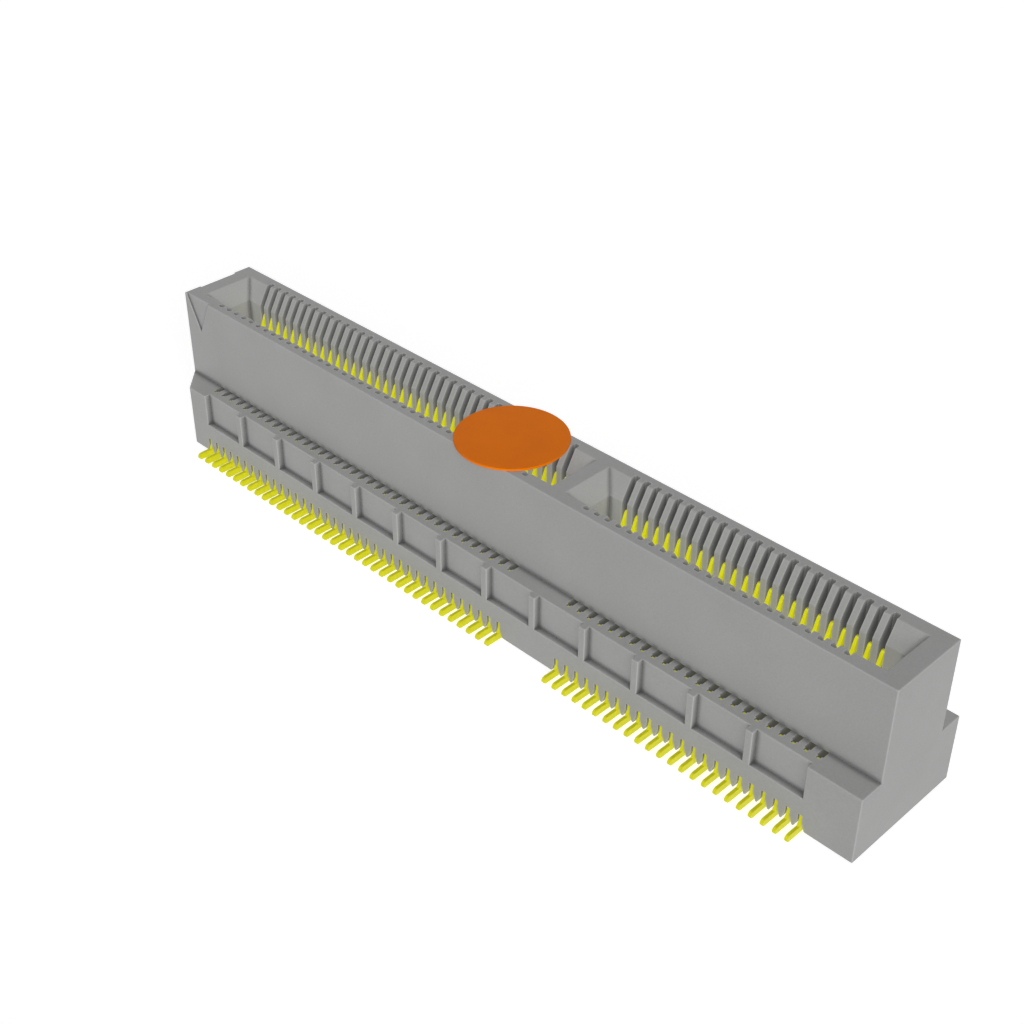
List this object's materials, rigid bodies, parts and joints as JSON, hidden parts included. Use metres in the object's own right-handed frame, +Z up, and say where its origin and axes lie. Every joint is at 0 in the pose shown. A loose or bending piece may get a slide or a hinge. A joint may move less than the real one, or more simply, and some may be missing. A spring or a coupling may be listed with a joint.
{
  "type": "card edge connector",
  "caption": "Long vertical socket that grips the edge of a plug-in circuit card in keyed slots, with sprung blade contacts, surface-mount feet and a pick-up pad.",
  "frame": {"origin": "centre of the footprint, in the plane of the solder feet's undersides", "axes": "+X along the card slots from the first contact position to the last, +Y to the rear row, +Z up out of the board towards the slot mouths"},
  "size_m": [0.058, 0.011, 0.011],
  "materials": {
    "moulded_plastic": "fine-grained grey moulding, matt",
    "plated_spring_metal": "bright yellow plating on stamped spring sheet",
    "amber_film": "smooth amber film, satin gloss"
  },
  "bodies": {
    "root": {"front_contacts_01": "plated_spring_metal", "front_contacts_02": "plated_spring_metal", "front_contacts_03": "plated_spring_metal", "front_contacts_04": "plated_spring_metal", "front_contacts_05": "plated_spring_metal", "front_contacts_06": "plated_spring_metal", "front_contacts_07": "plated_spring_metal", "front_contacts_08": "plated_spring_metal", "front_contacts_09": "plated_spring_metal", "front_contacts_10": "plated_spring_metal", "front_contacts_11": "plated_spring_metal", "front_contacts_12": "plated_spring_metal", "front_contacts_13": "plated_spring_metal", "front_contacts_14": "plated_spring_metal", "front_contacts_15": "plated_spring_metal", "front_contacts_16": "plated_spring_metal", "front_contacts_17": "plated_spring_metal", "front_contacts_18": "plated_spring_metal", "front_contacts_19": "plated_spring_metal", "front_contacts_20": "plated_spring_metal", "housing_base": "moulded_plastic", "housing_body": "moulded_plastic", "pickup_pad": "amber_film", "rear_contacts_01": "plated_spring_metal", "rear_contacts_02": "plated_spring_metal", "rear_contacts_03": "plated_spring_metal", "rear_contacts_04": "plated_spring_metal", "rear_contacts_05": "plated_spring_metal", "rear_contacts_06": "plated_spring_metal", "rear_contacts_07": "plated_spring_metal", "rear_contacts_08": "plated_spring_metal", "rear_contacts_09": "plated_spring_metal", "rear_contacts_10": "plated_spring_metal", "rear_contacts_11": "plated_spring_metal", "rear_contacts_12": "plated_spring_metal", "rear_contacts_13": "plated_spring_metal", "rear_contacts_14": "plated_spring_metal", "rear_contacts_15": "plated_spring_metal", "rear_contacts_16": "plated_spring_metal", "rear_contacts_17": "plated_spring_metal", "rear_contacts_18": "plated_spring_metal", "rear_contacts_19": "plated_spring_metal", "rear_contacts_20": "plated_spring_metal"}
  },
  "joints": []
}
